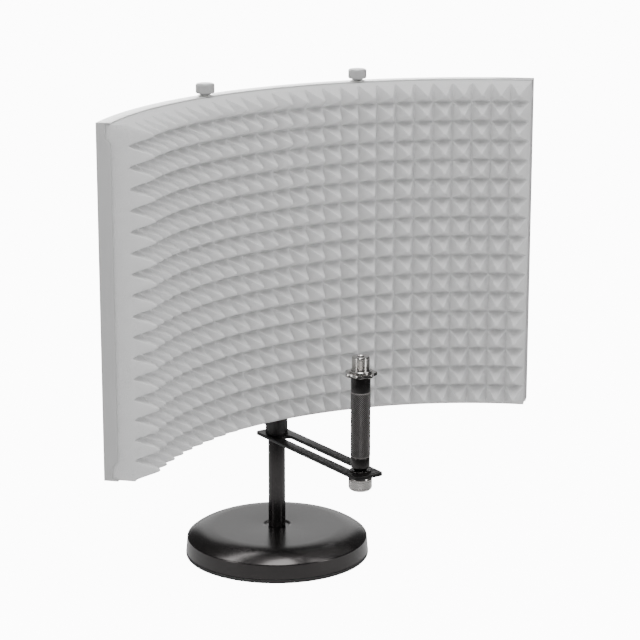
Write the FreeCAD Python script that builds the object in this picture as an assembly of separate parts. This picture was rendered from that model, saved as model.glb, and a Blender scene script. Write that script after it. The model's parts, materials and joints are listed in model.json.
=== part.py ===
"""Microphone isolation shield on a desk stand.

A curved sheet-steel tray holds pyramid acoustic foam. It stands on a round cast base by a short
column. A slotted flat arm under the shield carries a knurled post with a microphone thread.
Millimetres, +Z up. The origin is on the table at the base's centre, which is also the column's
axis. The user, the arm and the microphone are on the -Y side, and the shield's back faces +Y.
"""
import FreeCAD, Part
import math
import os

# Driving dimensions ---------------------------------------------------------------------------
BASE_RADIUS = 85.6            # widest radius of the base, at its lower edge
BASE_TOP_Z = 27.5             # top of the casting, away from the dimple
BASE_SIDE_TOP = (84.3, 17.2)  # radius and height where the shoulder meets the side
BASE_FLAT_RADIUS = 58.0       # radius where the shoulder starts
BOOT_FLOOR = 1.5              # rubber under the casting
BOOT_RIM_Z = 3.2              # top of the rubber rim
BOOT_RIM_WIDTH = 2.2
DIMPLE_RADIUS = 13.0
DIMPLE_DEPTH = 1.5
CAST_WALL = 9.0

TUBE_RADIUS = 7.94            # 5/8 inch column tube
TUBE_WALL = 1.5
STUD_RADIUS = 4.76            # 3/8 inch stud at the column's top
BASE_BOLT_RADIUS = 4.0        # M8
BASE_BOLT_HEAD = 6.5          # half the width across flats

ARM_TOP_Z = 117.2
ARM_THICKNESS = 3.0
ARM_WIDTH = 29.4
ARM_BACK_Y = 14.3
ARM_FRONT_Y = -153.0
ARM_CORNER = 4.0
SLOT_WIDTH = 9.3
SLOT_BACK_Y = -19.0           # centre of the slot's rear round end
WASHER_RADIUS = 12.0
WASHER_THICKNESS = 1.4

POST_Y = -137.5               # post axis, at the slot's front round end
ROD_RADIUS = 4.0              # M8 rod through the post
ROD_GRIP = 8.0                # length of the rod inside the microphone adapter
POST_WASHER_THICKNESS = 1.0
COLLAR_RADIUS = 8.5
COLLAR_CONE = 2.9             # height of the lower collar's tapered end
COLLAR_NOSE_RADIUS = 5.0
LOWER_COLLAR_TOP = 130.4
GRIP_RADIUS = 8.8
GRIP_TOP = 189.7
UPPER_COLLAR_TOP = 204.3
GROOVE = 0.5                  # depth and half-height of the grooves at the grip's ends
MIC_THREAD_RADIUS = 7.94      # 5/8 inch microphone thread
MIC_THREAD_TOP = 221.7
MIC_RELIEF = 0.2              # undercut of the adapter inside the lock ring
MIC_HOLE_RADIUS = 3.0
MIC_HOLE_DEPTH = 7.0
RING_RADIUS = 14.5            # lock ring, over the lobes
RING_LOBES = 7
RING_TURN = 19.0              # degrees that the lobes are turned by at rest
RING_THICKNESS = 3.2
RING_BOSS = (10.0, 1.6)       # radius and height
NUT_RADIUS = 10.5             # thumb nut under the arm
NUT_BOTTOM_Z = 100.0

PANEL_RADIUS = 328.0          # back surface of the curved tray
PANEL_HALF_ANGLE = 43.7       # degrees
PANEL_BACK_Y = 5.0            # back surface at the middle
PANEL_BOTTOM_Z = 135.0
PANEL_HEIGHT = 305.0
SHEET = 1.0
FLANGE = 12.5
FLANGE_CUT = 7.7              # depth of the side flanges near their ends
FLANGE_CUT_HEIGHT = 13.0
FLANGE_CHAMFER = 4.0
FOAM_DEPTH = 47.0             # over the tips of the pyramids

PLATE_THICKNESS = 2.0         # stiffener behind the tray
PLATE_HALF_ANGLE = 10.5
PLATE_Z = (150.0, 285.0)
PLATE_BOLT_ANGLE = 8.6
PLATE_BOLT_Z = (161.0, 274.0)
PLATE_BOLT_RADIUS = 2.5
PLATE_NUT = 4.0               # thickness of the plate's nuts
HUB_RADIUS = 10.25
HUB_TOP_Z = 134.6
HUB_CAP = 3.5                 # metal over the stud's bore
LUG_WIDTH = 24.0
LUG_DEPTH = 6.0
LUG_ROUND = 2.0
LUG_BOTTOM_Z = 126.5
LUG_TOP_Z = 214.0
LUG_SCREW_Z = (168.0, 200.0)
LUG_SCREW_RADIUS = 3.0
LUG_NUT = 5.0

KNOB_ANGLE = 14.5
KNOB_INSET = 8.0              # knob axis in front of the tray's back surface
KNOB_RADIUS = 8.3
KNOB_HEIGHT = 8.8
KNOB_NECK = (4.8, 1.4)        # radius and height
KNOB_WASHER = (6.6, 1.0)
KNOB_RIM = 1.6                # rounding of the knob's rims
KNOB_STUD_RADIUS = 2.5
KNOB_STUD_GRIP = 5.0          # length of the stud inside the knob's head
KNOB_STUD_LENGTH = 16.0       # below the flange's top
KNOB_NUT_RADIUS = 4.5
KNOB_NUT_HEIGHT = 8.0

PLATE_CORNER = 8.0
SCREW_HOLE = 0.2              # radial clearance of a screw in a thin sheet
NUT_POCKET = (3.0, 2.5)       # room in the foam round and behind a nut
NUT_SEAT = 0.06               # a flat nut's standoff on the curved sheet

RUNNING = 0.06                # radial clearance of a shaft that turns in a hole
FACE_GAP = 0.1                # between flat faces that turn or slide on each other

# Worked-out places ----------------------------------------------------------------------------
PANEL_CENTRE_Y = PANEL_BACK_Y - PANEL_RADIUS
PANEL_TOP_Z = PANEL_BOTTOM_Z + PANEL_HEIGHT
ARM_BOTTOM_Z = ARM_TOP_Z - ARM_THICKNESS
COLUMN_WASHER_Z = ARM_BOTTOM_Z - FACE_GAP - WASHER_THICKNESS
TUBE_BOTTOM_Z = BASE_TOP_Z - DIMPLE_DEPTH
TUBE_BORE = TUBE_RADIUS - TUBE_WALL
POST_WASHER_Z = ARM_TOP_Z + FACE_GAP
LOWER_COLLAR_Z = POST_WASHER_Z + POST_WASHER_THICKNESS + FACE_GAP
NUT_WASHER_Z = ARM_BOTTOM_Z - FACE_GAP - WASHER_THICKNESS
NUT_TOP_Z = NUT_WASHER_Z - FACE_GAP
PLATE_BACK = PANEL_RADIUS + PLATE_THICKNESS
KNOB_BOTTOM_Z = PANEL_TOP_Z + 2 * FACE_GAP + KNOB_WASHER[1]
RING_BOTTOM_Z = UPPER_COLLAR_TOP + FACE_GAP
RING_BOSS_TOP = RING_BOTTOM_Z + RING_THICKNESS + RING_BOSS[1]
MIC_THREAD_BOTTOM = RING_BOSS_TOP + 0.5

V = FreeCAD.Vector
UP = V(0, 0, 1)


# Helpers --------------------------------------------------------------------------------------
def cylinder(radius, z0, z1, x=0.0, y=0.0):
    return Part.makeCylinder(radius, z1 - z0, V(x, y, z0), UP)


def washer(outer, inner, z0, z1, x=0.0, y=0.0):
    return cylinder(outer, z0, z1, x, y).cut(cylinder(inner, z0 - 1, z1 + 1, x, y))


def turned(edges, x=0.0, y=0.0):
    """A solid turned about a vertical axis from the closed outline of edges in the XZ plane."""
    face = Part.Face(Part.Wire(edges))
    solid = face.revolve(V(0, 0, 0), UP, 360)
    solid.translate(V(x, y, 0))
    return solid


def outline(points):
    """Straight edges through (radius, height) points, closed back to the first."""
    corners = [V(r, 0, z) for r, z in points]
    return [Part.makeLine(a, b) for a, b in zip(corners, corners[1:] + corners[:1])]


def on_arc(radius, angle, z=0.0):
    """A point at a radius from the shield's centre of curvature; angle 0 is straight back."""
    a = math.radians(angle)
    return V(radius * math.sin(a), PANEL_CENTRE_Y + radius * math.cos(a), z)


def sector(r0, r1, a0, a1, z0, z1):
    """A curved slab between two radii, two angles and two heights."""
    mid = (a0 + a1) / 2
    inner = Part.Arc(on_arc(r0, a0, z0), on_arc(r0, mid, z0), on_arc(r0, a1, z0)).toShape()
    outer = Part.Arc(on_arc(r1, a0, z0), on_arc(r1, mid, z0), on_arc(r1, a1, z0)).toShape()
    ends = [Part.makeLine(on_arc(r0, a, z0), on_arc(r1, a, z0)) for a in (a0, a1)]
    face = Part.Face(Part.Wire(Part.__sortEdges__([inner, ends[1], outer, ends[0]])))
    return face.extrude(V(0, 0, z1 - z0))


def radial_cylinder(radius, r0, r1, angle, z):
    """A cylinder along the shield's radius, from r0 to r1."""
    start = on_arc(r0, angle, z)
    return Part.makeCylinder(radius, r1 - r0, start, on_arc(r1, angle, z) - start)


def hexagon(half_flats, start, direction, length, spin=0.0):
    """A hexagonal prism from start along direction."""
    corner = half_flats / math.cos(math.pi / 6)
    turn = [math.radians(60 * i + spin) for i in range(7)]
    wire = Part.makePolygon([V(corner * math.cos(t), corner * math.sin(t), 0) for t in turn])
    prism = Part.Face(wire).extrude(V(0, 0, length))
    prism.Placement = FreeCAD.Placement(start, FreeCAD.Rotation(UP, direction))
    return prism


def rounded_bar(x0, x1, y0, y1, z0, z1, corner):
    bar = Part.makeBox(x1 - x0, y1 - y0, z1 - z0, V(x0, y0, z0))
    upright = [e for e in bar.Edges if abs(e.Vertexes[0].Z - e.Vertexes[-1].Z) > 0.5]
    return bar.makeFillet(corner, upright)


# The stand ------------------------------------------------------------------------------------
def base_casting():
    """A heavy hollow disc: dimple under the column, and a shoulder arc that leaves the top level."""
    side_r, side_z = BASE_SIDE_TOP
    foot_r = BASE_RADIUS - BOOT_RIM_WIDTH
    lip_z = BOOT_RIM_Z + 0.4
    edge_r = BASE_RADIUS - 0.1
    run, drop = side_r - BASE_FLAT_RADIUS, BASE_TOP_Z - 0.5 - side_z
    bend = (run ** 2 + drop ** 2) / (2 * drop)
    half = math.asin(run / bend) / 2
    middle = (
        BASE_FLAT_RADIUS + bend * math.sin(half),
        BASE_TOP_Z - 0.5 - bend * (1 - math.cos(half)),
    )
    shoulder = Part.Arc(
        V(side_r, 0, side_z), V(middle[0], 0, middle[1]), V(BASE_FLAT_RADIUS, 0, BASE_TOP_Z - 0.5)
    ).toShape()
    before = [
        (0, BOOT_FLOOR + CAST_WALL), (30, BOOT_FLOOR + CAST_WALL + 2), (72, BOOT_FLOOR + 7),
        (76, BOOT_FLOOR), (foot_r, BOOT_FLOOR), (foot_r, lip_z), (edge_r, lip_z),
        (side_r, side_z),
    ]
    after = [
        (BASE_FLAT_RADIUS, BASE_TOP_Z - 0.5), (DIMPLE_RADIUS, BASE_TOP_Z),
        (DIMPLE_RADIUS - 3, TUBE_BOTTOM_Z), (0, TUBE_BOTTOM_Z), before[0],
    ]
    edges = [Part.makeLine(V(a[0], 0, a[1]), V(b[0], 0, b[1])) for a, b in zip(before, before[1:])]
    edges.append(shoulder)
    edges += [Part.makeLine(V(a[0], 0, a[1]), V(b[0], 0, b[1])) for a, b in zip(after, after[1:])]
    return turned(edges).cut(cylinder(BASE_BOLT_RADIUS + 0.4, 0, BASE_TOP_Z + 5))


def base_rubber_boot():
    """A non-slip rubber disc with a rim that wraps the casting's lower edge."""
    inner = BASE_RADIUS - BOOT_RIM_WIDTH
    return turned(outline([
        (0, 0), (BASE_RADIUS - 0.8, 0), (BASE_RADIUS, 0.8), (BASE_RADIUS, BOOT_RIM_Z),
        (inner, BOOT_RIM_Z), (inner, BOOT_FLOOR), (0, BOOT_FLOOR),
    ]))


def base_washer():
    z = BOOT_FLOOR + CAST_WALL
    return washer(11.0, BASE_BOLT_RADIUS + 0.3, z - 1.6, z)


def base_spring_washer():
    z = BOOT_FLOOR + CAST_WALL - 1.6
    split = Part.makeBox(8, 1.2, 4, V(3, -0.6, z - 3))
    return washer(7.0, BASE_BOLT_RADIUS + 0.2, z - 2.0, z).cut(split)


def base_bolt():
    """The hexagon bolt that pulls the column onto the base, its head inside the hollow."""
    seat = BOOT_FLOOR + CAST_WALL - 3.6
    shank = cylinder(BASE_BOLT_RADIUS, seat - 0.5, TUBE_BOTTOM_Z + 14)
    return shank.fuse(hexagon(BASE_BOLT_HEAD, V(0, 0, seat - 5.0), UP, 5.0))


def column_tube():
    return washer(TUBE_RADIUS, TUBE_BORE, TUBE_BOTTOM_Z, COLUMN_WASHER_Z)


def column_lower_plug():
    """The tapped plug in the tube's foot."""
    return washer(TUBE_BORE, BASE_BOLT_RADIUS, TUBE_BOTTOM_Z, TUBE_BOTTOM_Z + 22)


def column_upper_stud():
    """The plug in the tube's top, with the stud that carries the arm and the shield."""
    plug = cylinder(TUBE_BORE, COLUMN_WASHER_Z - 20, COLUMN_WASHER_Z)
    return plug.fuse(cylinder(STUD_RADIUS, COLUMN_WASHER_Z - 1, HUB_TOP_Z - HUB_CAP - 1))


def arm_washer():
    return washer(WASHER_RADIUS, STUD_RADIUS + 0.2, COLUMN_WASHER_Z, ARM_BOTTOM_Z - FACE_GAP)


# The arm and the microphone post ----------------------------------------------------------------
def slotted_arm():
    half = ARM_WIDTH / 2
    bar = rounded_bar(-half, half, ARM_FRONT_Y, ARM_BACK_Y, ARM_BOTTOM_Z, ARM_TOP_Z, ARM_CORNER)
    slot = Part.makeBox(
        SLOT_WIDTH, SLOT_BACK_Y - POST_Y, 20, V(-SLOT_WIDTH / 2, POST_Y, ARM_BOTTOM_Z - 5)
    )
    for y in (POST_Y, SLOT_BACK_Y):
        slot = slot.fuse(cylinder(SLOT_WIDTH / 2, ARM_BOTTOM_Z - 5, ARM_TOP_Z + 5, 0, y))
    hole = cylinder(STUD_RADIUS + RUNNING, ARM_BOTTOM_Z - 5, ARM_TOP_Z + 5)
    return bar.cut(slot).cut(hole)


def post_upper_washer():
    top = POST_WASHER_Z + POST_WASHER_THICKNESS
    return washer(9.5, ROD_RADIUS + RUNNING, POST_WASHER_Z, top, 0, POST_Y)


def post_rod():
    """The threaded rod that runs from the thumb nut up into the microphone adapter."""
    return cylinder(ROD_RADIUS, NUT_BOTTOM_Z + 3, UPPER_COLLAR_TOP + ROD_GRIP, 0, POST_Y)


def post_lower_collar():
    shoulder = LOWER_COLLAR_TOP - GROOVE
    return turned(outline([
        (ROD_RADIUS, LOWER_COLLAR_Z), (COLLAR_NOSE_RADIUS, LOWER_COLLAR_Z),
        (COLLAR_RADIUS, LOWER_COLLAR_Z + COLLAR_CONE), (COLLAR_RADIUS, shoulder),
        (COLLAR_RADIUS - GROOVE, LOWER_COLLAR_TOP), (ROD_RADIUS, LOWER_COLLAR_TOP),
    ]), 0, POST_Y)


def knurled_grip():
    r = GRIP_RADIUS
    return turned(outline([
        (ROD_RADIUS, LOWER_COLLAR_TOP), (r - 2 * GROOVE, LOWER_COLLAR_TOP),
        (r, LOWER_COLLAR_TOP + GROOVE), (r, GRIP_TOP - GROOVE), (r - 2 * GROOVE, GRIP_TOP),
        (ROD_RADIUS, GRIP_TOP),
    ]), 0, POST_Y)


def post_upper_collar():
    r = COLLAR_RADIUS + 0.2
    return turned(outline([
        (ROD_RADIUS, GRIP_TOP), (r - GROOVE, GRIP_TOP), (r, GRIP_TOP + GROOVE),
        (r, UPPER_COLLAR_TOP - GROOVE), (r - GROOVE, UPPER_COLLAR_TOP),
        (ROD_RADIUS, UPPER_COLLAR_TOP),
    ]), 0, POST_Y)


def mic_adapter():
    """The microphone thread, drawn at its outer diameter, with a blind hole in its top."""
    r, top, relief_r = MIC_THREAD_RADIUS, MIC_THREAD_TOP, MIC_THREAD_RADIUS - MIC_RELIEF
    body = turned(outline([
        (0, UPPER_COLLAR_TOP), (relief_r, UPPER_COLLAR_TOP), (relief_r, MIC_THREAD_BOTTOM),
        (r, MIC_THREAD_BOTTOM), (r, top - 1.0), (r - 1.0, top), (0, top),
    ]), 0, POST_Y)
    rod_hole = cylinder(ROD_RADIUS, UPPER_COLLAR_TOP - 1, UPPER_COLLAR_TOP + ROD_GRIP, 0, POST_Y)
    return body.cut(rod_hole).cut(cylinder(MIC_HOLE_RADIUS, top - MIC_HOLE_DEPTH, top + 1, 0, POST_Y))


def lock_ring():
    """A lobed ring that runs on the microphone thread and locks what is screwed on it."""
    z0 = RING_BOTTOM_Z
    z1 = z0 + RING_THICKNESS
    ring = cylinder(RING_RADIUS, z0, z1, 0, POST_Y)
    ring = ring.fuse(cylinder(RING_BOSS[0], z1, RING_BOSS_TOP, 0, POST_Y))
    scallop = RING_RADIUS * 0.42
    reach = RING_RADIUS + scallop * 0.55
    for i in range(RING_LOBES):
        a = 2 * math.pi * (i + 0.5) / RING_LOBES + math.radians(RING_TURN)
        x, y = reach * math.cos(a), POST_Y + reach * math.sin(a)
        ring = ring.cut(cylinder(scallop, z0 - 1, z1 + 1, x, y))
    return ring.cut(cylinder(MIC_THREAD_RADIUS + RUNNING, z0 - 1, z1 + 5, 0, POST_Y))


def post_lower_washer():
    top = NUT_WASHER_Z + WASHER_THICKNESS
    return washer(WASHER_RADIUS, ROD_RADIUS + RUNNING, NUT_WASHER_Z, top, 0, POST_Y)


def thumb_nut():
    """A knurled blind nut: a short plain neck, the knurled body and a rounded lower edge."""
    r, round_r = NUT_RADIUS, 3.0
    k = round_r * (1 - math.sqrt(0.5))
    bottom = NUT_BOTTOM_Z
    bore = ROD_RADIUS + RUNNING
    lower_edge = Part.Arc(
        V(r - round_r, 0, bottom), V(r - k, 0, bottom + k), V(r, 0, bottom + round_r)
    ).toShape()
    points = [
        (r, bottom + round_r), (r, NUT_TOP_Z - 2.6), (r - 0.8, NUT_TOP_Z - 1.8),
        (r - 0.8, NUT_TOP_Z - 0.6), (r - 1.6, NUT_TOP_Z), (bore, NUT_TOP_Z), (bore, bottom + 2),
        (0, bottom + 2), (0, bottom), (r - round_r, bottom),
    ]
    edges = [Part.makeLine(V(a[0], 0, a[1]), V(b[0], 0, b[1])) for a, b in zip(points, points[1:])]
    return turned(edges + [lower_edge], 0, POST_Y)


# The shield -------------------------------------------------------------------------------------
def shield_carrier():
    """The casting that screws onto the column's stud and rises as a lug behind the tray."""
    hub = cylinder(HUB_RADIUS, ARM_TOP_Z + FACE_GAP, HUB_TOP_Z)
    back_y = PANEL_BACK_Y + PLATE_THICKNESS + LUG_DEPTH
    lug = Part.makeBox(
        LUG_WIDTH, back_y, LUG_TOP_Z - LUG_BOTTOM_Z, V(-LUG_WIDTH / 2, 0, LUG_BOTTOM_Z)
    )
    edges = [
        e for e in lug.Edges
        if min(v.Y for v in e.Vertexes) > back_y - 0.1
        or min(v.Z for v in e.Vertexes) > LUG_TOP_Z - 0.1
    ]
    lug = lug.makeFillet(LUG_ROUND, edges)
    below = Part.makeBox(60, 40, 40, V(-30, -40, LUG_BOTTOM_Z - 1))
    body = hub.fuse(lug.cut(below))
    shield_room = Part.makeCylinder(PLATE_BACK, 150, V(0, PANEL_CENTRE_Y, HUB_TOP_Z), UP)
    body = body.cut(shield_room)
    for z in LUG_SCREW_Z:
        hole_r = LUG_SCREW_RADIUS + SCREW_HOLE
        body = body.cut(radial_cylinder(hole_r, PLATE_BACK - 5, PLATE_BACK + 20, 0, z))
    return body.cut(cylinder(STUD_RADIUS + RUNNING, ARM_TOP_Z - 1, HUB_TOP_Z - HUB_CAP))


def plate_bolt_places():
    return [(a, z) for a in (-PLATE_BOLT_ANGLE, PLATE_BOLT_ANGLE) for z in PLATE_BOLT_Z]


def drilled(shape, extra=SCREW_HOLE):
    """The sheet with the clearance holes of the plate's and the lug's screws."""
    r0, r1 = PANEL_RADIUS - 5, PLATE_BACK + 5
    for angle, z in plate_bolt_places():
        shape = shape.cut(radial_cylinder(PLATE_BOLT_RADIUS + extra, r0, r1, angle, z))
    for z in LUG_SCREW_Z:
        shape = shape.cut(radial_cylinder(LUG_SCREW_RADIUS + extra, r0, r1, 0, z))
    return shape


def rear_plate():
    """The stiffener that spreads the lug's load over the thin tray."""
    a = PLATE_HALF_ANGLE
    plate = sector(PANEL_RADIUS, PLATE_BACK, -a, a, *PLATE_Z)
    upright = [
        e for e in plate.Edges
        if len(e.Vertexes) == 2 and abs(e.Vertexes[0].Z - e.Vertexes[1].Z) < 0.1 and e.Length < 3
    ]
    return drilled(plate.makeFillet(PLATE_CORNER, upright))


def button_screw(radius, seat, tip, angle, z):
    """A domed screw whose head sits on radius seat and whose shank ends at radius tip."""
    head_r, head_h = radius * 1.9, radius * 1.1
    shank = radial_cylinder(radius, tip, seat + 0.5, angle, z)
    head = radial_cylinder(head_r, seat, seat + head_h, angle, z)
    outer_rim = max(
        (e for e in head.Edges if e.Length > 2 * math.pi * head_r * 0.9),
        key=lambda e: e.CenterOfMass.distanceToPoint(on_arc(0, angle, z)),
    )
    head = head.makeFillet(head_h * 0.8, [outer_rim])
    socket = on_arc(seat + head_h * 0.45, angle, z)
    outward = on_arc(seat + 10, angle, z) - on_arc(seat, angle, z)
    return shank.fuse(head).cut(hexagon(radius * 0.62, socket, outward, 5.0))


def hex_nut(radius, thickness, angle, z):
    """A hexagon nut on the foam side, its face against the tray's sheet."""
    r1 = PANEL_RADIUS - SHEET - NUT_SEAT
    r0 = r1 - thickness
    outward = on_arc(r1, angle, z) - on_arc(r0, angle, z)
    nut = hexagon(radius * 1.6, on_arc(r0, angle, z), outward, thickness)
    return nut.cut(radial_cylinder(radius, r0 - 1, r1 + 1, angle, z))


def plate_screws():
    return [
        button_screw(PLATE_BOLT_RADIUS, PLATE_BACK, PANEL_RADIUS - 6, a, z)
        for a, z in plate_bolt_places()
    ]


def plate_nuts():
    return [
        hex_nut(PLATE_BOLT_RADIUS, PLATE_NUT, a, z) for a, z in plate_bolt_places()
    ]


def lug_screws():
    seat = PLATE_BACK + LUG_DEPTH
    return [button_screw(LUG_SCREW_RADIUS, seat, PANEL_RADIUS - 7, 0, z) for z in LUG_SCREW_Z]


def lug_nuts():
    return [hex_nut(LUG_SCREW_RADIUS, LUG_NUT, 0, z) for z in LUG_SCREW_Z]


def knob_places():
    return {"left": -KNOB_ANGLE, "right": KNOB_ANGLE}


def back_panel():
    """The curved tray: a thin back with a flange turned forward along all four edges."""
    a, z0, z1 = PANEL_HALF_ANGLE, PANEL_BOTTOM_Z, PANEL_TOP_Z
    inner = PANEL_RADIUS - FLANGE
    sheet_angle = math.degrees(SHEET / PANEL_RADIUS)
    tray = sector(inner, PANEL_RADIUS, -a, a, z0, z1)
    hollow = sector(
        inner - 5, PANEL_RADIUS - SHEET, -a + sheet_angle, a - sheet_angle, z0 + SHEET, z1 - SHEET
    )
    tray = tray.cut(hollow)
    cut_r = PANEL_RADIUS - FLANGE_CUT
    for side in (-1, 1):
        for end, away in ((z0, 1), (z1, -1)):
            low, high = sorted((end + away * SHEET, end + away * FLANGE_CUT_HEIGHT))
            far = end + away * (FLANGE_CUT_HEIGHT + FLANGE_CHAMFER)
            near = end + away * FLANGE_CUT_HEIGHT
            block = Part.makeBox(6, cut_r - inner + 2, high - low, V(-3, inner - 2, low))
            wedge = Part.Face(Part.makePolygon([
                V(-3, inner - 2, near), V(-3, cut_r, near), V(-3, inner, far), V(-3, inner - 2, far),
                V(-3, inner - 2, near),
            ])).extrude(V(6, 0, 0))
            tool = block.fuse(wedge)
            tool.rotate(V(0, 0, 0), UP, -side * a)
            tool.translate(V(0, PANEL_CENTRE_Y, 0))
            tray = tray.cut(tool)
    tray = drilled(tray)
    for angle in knob_places().values():
        spot = on_arc(PANEL_RADIUS - KNOB_INSET, angle)
        tray = tray.cut(cylinder(KNOB_STUD_RADIUS + 0.3, z1 - 5, z1 + 5, spot.x, spot.y))
    return tray


def acoustic_foam():
    """The foam block, as a plain slab out to the tips of its pyramids, with pockets for nuts."""
    sheet_angle = math.degrees(SHEET / PANEL_RADIUS)
    a = PANEL_HALF_ANGLE - sheet_angle
    back = PANEL_RADIUS - SHEET
    z0, z1 = PANEL_BOTTOM_Z + SHEET, PANEL_TOP_Z - SHEET
    foam = sector(back - FOAM_DEPTH, back, -a, a, z0, z1)
    room, behind = NUT_POCKET
    pockets = [(PLATE_BOLT_RADIUS, PLATE_NUT, a, z) for a, z in plate_bolt_places()]
    pockets += [(LUG_SCREW_RADIUS, LUG_NUT, 0, z) for z in LUG_SCREW_Z]
    for radius, nut, angle, z in pockets:
        pocket = radial_cylinder(radius * 1.6 + room, back - nut - behind, back + 2, angle, z)
        foam = foam.cut(pocket)
    for angle in knob_places().values():
        spot = on_arc(PANEL_RADIUS - KNOB_INSET, angle)
        low = PANEL_TOP_Z - KNOB_STUD_LENGTH - 4
        foam = foam.cut(cylinder(KNOB_NUT_RADIUS + 0.4, low, z1 + 2, spot.x, spot.y))
    return foam


def knob_nuts():
    """The tapped bushes under the top flange that the knob studs screw into."""
    bushes = []
    for angle in knob_places().values():
        spot = on_arc(PANEL_RADIUS - KNOB_INSET, angle)
        top = PANEL_TOP_Z - SHEET
        outer, bore = KNOB_NUT_RADIUS - 0.7, KNOB_STUD_RADIUS + RUNNING
        bushes.append(washer(outer, bore, top - KNOB_NUT_HEIGHT, top, spot.x, spot.y))
    return bushes


def knob_washer(angle):
    radius, height = KNOB_WASHER
    z0 = PANEL_TOP_Z + FACE_GAP
    spot = on_arc(PANEL_RADIUS - KNOB_INSET, angle)
    return washer(radius, KNOB_STUD_RADIUS + RUNNING, z0, z0 + height, spot.x, spot.y)


def knob(angle):
    """A plain round knob on a short neck, with rounded edges."""
    spot = on_arc(PANEL_RADIUS - KNOB_INSET, angle)
    neck_r, neck_h = KNOB_NECK
    z0 = KNOB_BOTTOM_Z
    head_z = z0 + neck_h
    head = cylinder(KNOB_RADIUS, head_z, head_z + KNOB_HEIGHT, spot.x, spot.y)
    rims = [e for e in head.Edges if e.Length > 2 * math.pi * KNOB_RADIUS * 0.9]
    head = head.makeFillet(KNOB_RIM, rims)
    body = head.fuse(cylinder(neck_r, z0, head_z + 1, spot.x, spot.y))
    return body.cut(cylinder(KNOB_STUD_RADIUS, z0 - 1, head_z + KNOB_STUD_GRIP, spot.x, spot.y))


def knob_stud(angle):
    spot = on_arc(PANEL_RADIUS - KNOB_INSET, angle)
    top = KNOB_BOTTOM_Z + KNOB_NECK[1] + KNOB_STUD_GRIP
    return cylinder(KNOB_STUD_RADIUS, PANEL_TOP_Z - KNOB_STUD_LENGTH, top, spot.x, spot.y)


# Build and save ---------------------------------------------------------------------------------
def build():
    nodes = {
        "base_casting": base_casting(),
        "base_rubber_boot": base_rubber_boot(),
        "base_washer": base_washer(),
        "base_spring_washer": base_spring_washer(),
        "base_bolt": base_bolt(),
        "column_tube": column_tube(),
        "column_lower_plug": column_lower_plug(),
        "column_upper_stud": column_upper_stud(),
        "arm_washer": arm_washer(),
        "slotted_arm": slotted_arm(),
        "post_upper_washer": post_upper_washer(),
        "post_rod": post_rod(),
        "post_lower_collar": post_lower_collar(),
        "knurled_grip": knurled_grip(),
        "post_upper_collar": post_upper_collar(),
        "mic_adapter": mic_adapter(),
        "lock_ring": lock_ring(),
        "post_lower_washer": post_lower_washer(),
        "thumb_nut": thumb_nut(),
        "shield_carrier": shield_carrier(),
        "rear_plate": rear_plate(),
        "plate_screws": Part.makeCompound(plate_screws()),
        "plate_nuts": Part.makeCompound(plate_nuts()),
        "lug_screws": Part.makeCompound(lug_screws()),
        "lug_nuts": Part.makeCompound(lug_nuts()),
        "back_panel": back_panel(),
        "acoustic_foam": acoustic_foam(),
        "knob_nuts": Part.makeCompound(knob_nuts()),
    }
    for side, angle in knob_places().items():
        nodes[side + "_knob"] = knob(angle)
        nodes[side + "_knob_stud"] = knob_stud(angle)
        nodes[side + "_knob_washer"] = knob_washer(angle)
    return nodes


os.makedirs("parts", exist_ok=True)
for name, shape in build().items():
    shape.exportStep("parts/" + name + ".step")
    volume = round(shape.Volume / 1000, 2)
    print(name, "solids", len(shape.Solids), "valid", shape.isValid(), "cm3", volume)
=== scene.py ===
"""Microphone isolation shield on a desk stand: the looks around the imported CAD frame.

Metres, +Z up. The origin is on the table under the column. The user's side is -Y.
"""
import json
import math

import bmesh
import bpy
from mathutils import Matrix, Vector, noise


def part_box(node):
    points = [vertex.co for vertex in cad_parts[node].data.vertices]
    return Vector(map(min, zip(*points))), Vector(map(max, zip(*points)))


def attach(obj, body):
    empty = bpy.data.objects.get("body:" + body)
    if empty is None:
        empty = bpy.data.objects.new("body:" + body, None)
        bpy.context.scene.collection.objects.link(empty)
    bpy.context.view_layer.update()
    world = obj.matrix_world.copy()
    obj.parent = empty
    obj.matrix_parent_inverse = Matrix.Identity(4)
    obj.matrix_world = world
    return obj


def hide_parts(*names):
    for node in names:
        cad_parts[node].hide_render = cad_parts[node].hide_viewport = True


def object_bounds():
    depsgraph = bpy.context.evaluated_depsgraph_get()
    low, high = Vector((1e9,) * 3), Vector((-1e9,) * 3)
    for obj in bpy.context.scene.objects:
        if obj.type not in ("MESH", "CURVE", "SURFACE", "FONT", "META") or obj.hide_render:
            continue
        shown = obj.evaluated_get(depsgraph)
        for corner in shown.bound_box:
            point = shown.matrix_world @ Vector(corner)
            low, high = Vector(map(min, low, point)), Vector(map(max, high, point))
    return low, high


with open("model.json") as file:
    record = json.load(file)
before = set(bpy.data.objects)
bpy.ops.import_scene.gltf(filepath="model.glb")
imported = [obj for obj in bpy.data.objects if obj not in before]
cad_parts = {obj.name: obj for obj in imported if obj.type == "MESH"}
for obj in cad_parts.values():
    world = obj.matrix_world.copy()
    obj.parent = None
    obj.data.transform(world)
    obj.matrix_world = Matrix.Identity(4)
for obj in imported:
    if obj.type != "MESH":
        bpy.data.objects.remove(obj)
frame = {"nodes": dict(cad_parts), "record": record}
cad_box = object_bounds()

MM = 0.001
TURN = 2 * math.pi

# Sizes that the CAD boxes can't give ------------------------------------------------------------
ARC_RADIUS = 328 * MM         # back surface of the curved tray
SHEET = 1.0 * MM
FLANGE = 12.5 * MM
FLANGE_CUT = 7.7 * MM         # depth of the side flanges near their ends
FLANGE_CUT_HEIGHT = 13 * MM
FLANGE_CHAMFER = 4 * MM
BEND = 0.9 * MM               # outer rounding of the tray's folds

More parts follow.
